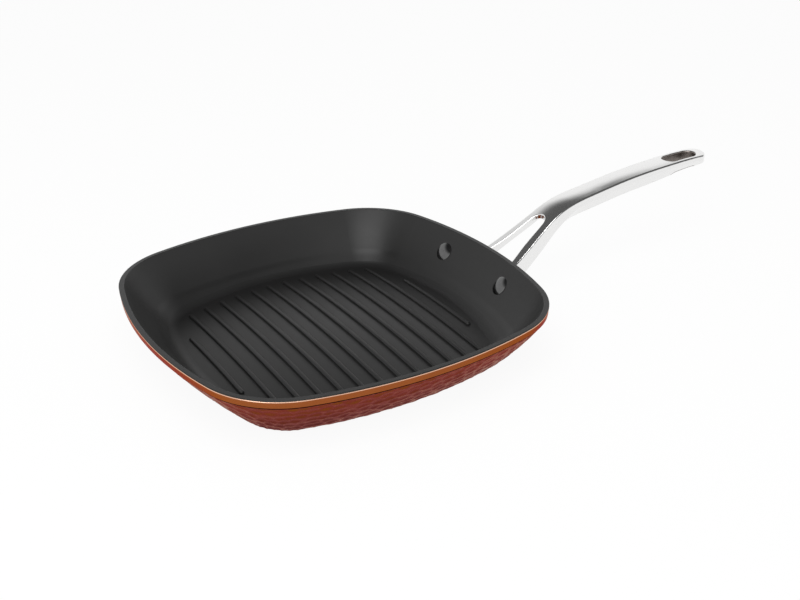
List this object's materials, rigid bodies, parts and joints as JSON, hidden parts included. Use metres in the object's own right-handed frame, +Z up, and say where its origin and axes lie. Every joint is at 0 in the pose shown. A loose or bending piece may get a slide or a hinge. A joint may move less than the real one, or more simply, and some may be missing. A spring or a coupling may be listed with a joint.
{
  "type": "grill pan",
  "caption": "Square grill pan with a ridged dark nonstick inside, a copper-coloured hammered outside and a forked polished metal handle with a hanging hole.",
  "frame": {"origin": "centre of the underside, on the plane that the pan stands on", "axes": "+X from the pan's centre along the handle, +Z up; the grill ridges run along Y"},
  "size_m": [0.5027, 0.28, 0.08],
  "materials": {
    "cast_body": "machined and satin",
    "nonstick": "satin black nonstick coat",
    "copper": "copper-coloured satin coat over a hammered wall, smooth at the band",
    "disc_steel": "turned",
    "polished_steel": "mirror polished cast stainless steel",
    "rivet_dark": "coated black with the inside of the pan"
  },
  "bodies": {
    "root": {"pan_body": "cast_body", "nonstick_lining": "nonstick", "copper_exterior": "copper", "induction_disc": "disc_steel", "handle": "polished_steel", "rivet_left": "rivet_dark", "rivet_right": "rivet_dark"}
  },
  "joints": []
}
